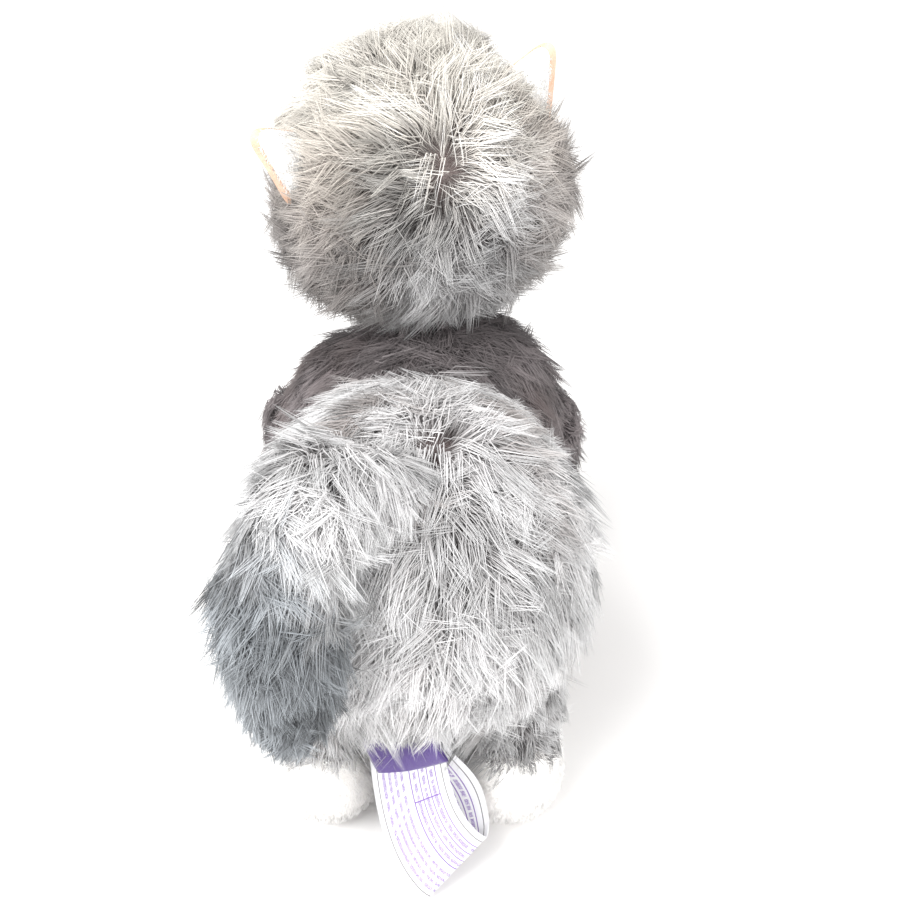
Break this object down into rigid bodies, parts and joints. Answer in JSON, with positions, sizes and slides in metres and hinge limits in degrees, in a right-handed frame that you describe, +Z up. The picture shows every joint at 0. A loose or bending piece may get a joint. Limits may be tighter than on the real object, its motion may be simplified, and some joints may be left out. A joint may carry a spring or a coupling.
{
  "type": "stuffed monkey",
  "caption": "Long-pile stuffed monkey standing on all fours, with jointed head, ears, arms, legs and tail, a grain pouch inside and a folded care label behind.",
  "frame": {"origin": "on the floor, at the middle of the toy's footprint box", "axes": "+Z up, the monkey faces -Y, its left is +X"},
  "size_m": [0.158, 0.2975, 0.269],
  "materials": {
    "silver_pile": "long silver-tipped plush pile over brown roots",
    "dark_pile": "long dark grey-brown plush pile",
    "blue_grey_pile": "long blue-grey plush pile",
    "cream_skin": "short cream pile",
    "peach_skin": "short peach pile",
    "wadding": "loose polyester fibre",
    "pouch_cloth": "close cotton weave",
    "grain": "loose dry grain",
    "thread": "twisted thread",
    "nose_thread": "satin-stitched thread",
    "eye_plastic": "polished dome",
    "washer_plastic": "moulded lock washer",
    "ribbon": "purple woven ribbon",
    "satin": "white satin ribbon"
  },
  "bodies": {
    "torso": {"shoulder_cover_left": "dark_pile", "shoulder_cover_right": "dark_pile", "rump_cover_left": "silver_pile", "rump_cover_right": "silver_pile", "belly_panel": "peach_skin", "body_stuffing": "wadding", "heat_pouch": "pouch_cloth", "grain_fill": "grain", "closing_stitches": "thread"},
    "neck": {"neck_roll": "dark_pile"},
    "head": {"head_cover_left": "silver_pile", "head_cover_right": "silver_pile", "face_mask": "peach_skin", "head_stuffing": "wadding", "muzzle_cover": "cream_skin", "muzzle_stuffing": "wadding", "nose": "nose_thread", "mouth_stitch": "nose_thread", "eye_left": "eye_plastic", "eye_right": "eye_plastic", "eye_washer_left": "washer_plastic", "eye_washer_right": "washer_plastic"},
    "left_ear": {"ear_back_left": "cream_skin", "ear_lining_left": "peach_skin"},
    "right_ear": {"ear_back_right": "cream_skin", "ear_lining_right": "peach_skin"},
    "left_arm": {"arm_sleeve_left": "dark_pile", "arm_stuffing_left": "wadding", "hand_cover_left": "cream_skin"},
    "right_arm": {"arm_sleeve_right": "dark_pile", "arm_stuffing_right": "wadding", "hand_cover_right": "cream_skin"},
    "left_leg": {"thigh_cover_left": "silver_pile", "foot_cover_left": "cream_skin", "sole_panel_left": "cream_skin", "leg_stuffing_left": "wadding"},
    "right_leg": {"thigh_cover_right": "silver_pile", "foot_cover_right": "cream_skin", "sole_panel_right": "cream_skin", "leg_stuffing_right": "wadding"},
    "tail_base": {"tail_base_cover": "silver_pile", "tail_base_stuffing": "wadding"},
    "tail_tip": {"tail_tip_cover": "blue_grey_pile", "tail_tip_stuffing": "wadding"},
    "labels": {"ribbon_label": "ribbon", "care_label": "satin"}
  },
  "joints": [
    {"name": "neck_turn", "type": "hinge", "parent": "torso", "child": "neck", "pos_m": [0, -0.06517, 0.15129], "axis": [0, -0.3054, 0.9522], "range_deg": [-40, 40]},
    {"name": "head_nod", "type": "hinge", "parent": "neck", "child": "head", "pos_m": [0, -0.06517, 0.15129], "axis": [1, 0, 0], "range_deg": [-15, 15]},
    {"name": "left_ear_fold", "type": "hinge", "parent": "head", "child": "left_ear", "pos_m": [0.05326, -0.05578, 0.22652], "axis": [-0.2088, -0.1697, 0.9631], "range_deg": [-25, 25]},
    {"name": "right_ear_fold", "type": "hinge", "parent": "head", "child": "right_ear", "pos_m": [-0.04884, -0.08314, 0.24899], "axis": [0.6236, 0.0534, 0.7799], "range_deg": [-25, 25]},
    {"name": "left_arm_swing", "type": "hinge", "parent": "torso", "child": "left_arm", "pos_m": [0.0605, -0.058, 0.11], "axis": [1, 0, 0], "range_deg": [-25, 18]},
    {"name": "right_arm_swing", "type": "hinge", "parent": "torso", "child": "right_arm", "pos_m": [-0.0605, -0.058, 0.11], "axis": [1, 0, 0], "range_deg": [-25, 18]},
    {"name": "left_leg_swing", "type": "hinge", "parent": "torso", "child": "left_leg", "pos_m": [0.037, 0.064, 0.052], "axis": [1, 0, 0], "range_deg": [-14, 14]},
    {"name": "right_leg_swing", "type": "hinge", "parent": "torso", "child": "right_leg", "pos_m": [-0.037, 0.064, 0.052], "axis": [1, 0, 0], "range_deg": [-14, 14]},
    {"name": "tail_lift", "type": "hinge", "parent": "torso", "child": "tail_base", "pos_m": [0.00805, 0.08218, 0.15932], "axis": [0.8855, -0.4459, 0.1307], "range_deg": [0, 45]},
    {"name": "tail_curl", "type": "hinge", "parent": "tail_base", "child": "tail_tip", "pos_m": [0.044, 0.118, 0.14], "axis": [0.8678, -0.4278, -0.2527], "range_deg": [0, 38]},
    {"name": "label_flap", "type": "hinge", "parent": "torso", "child": "labels", "pos_m": [0.01827, 0.09263, 0.05427], "axis": [0.8971, -0.345, -0.276], "range_deg": [0, 45]}
  ]
}
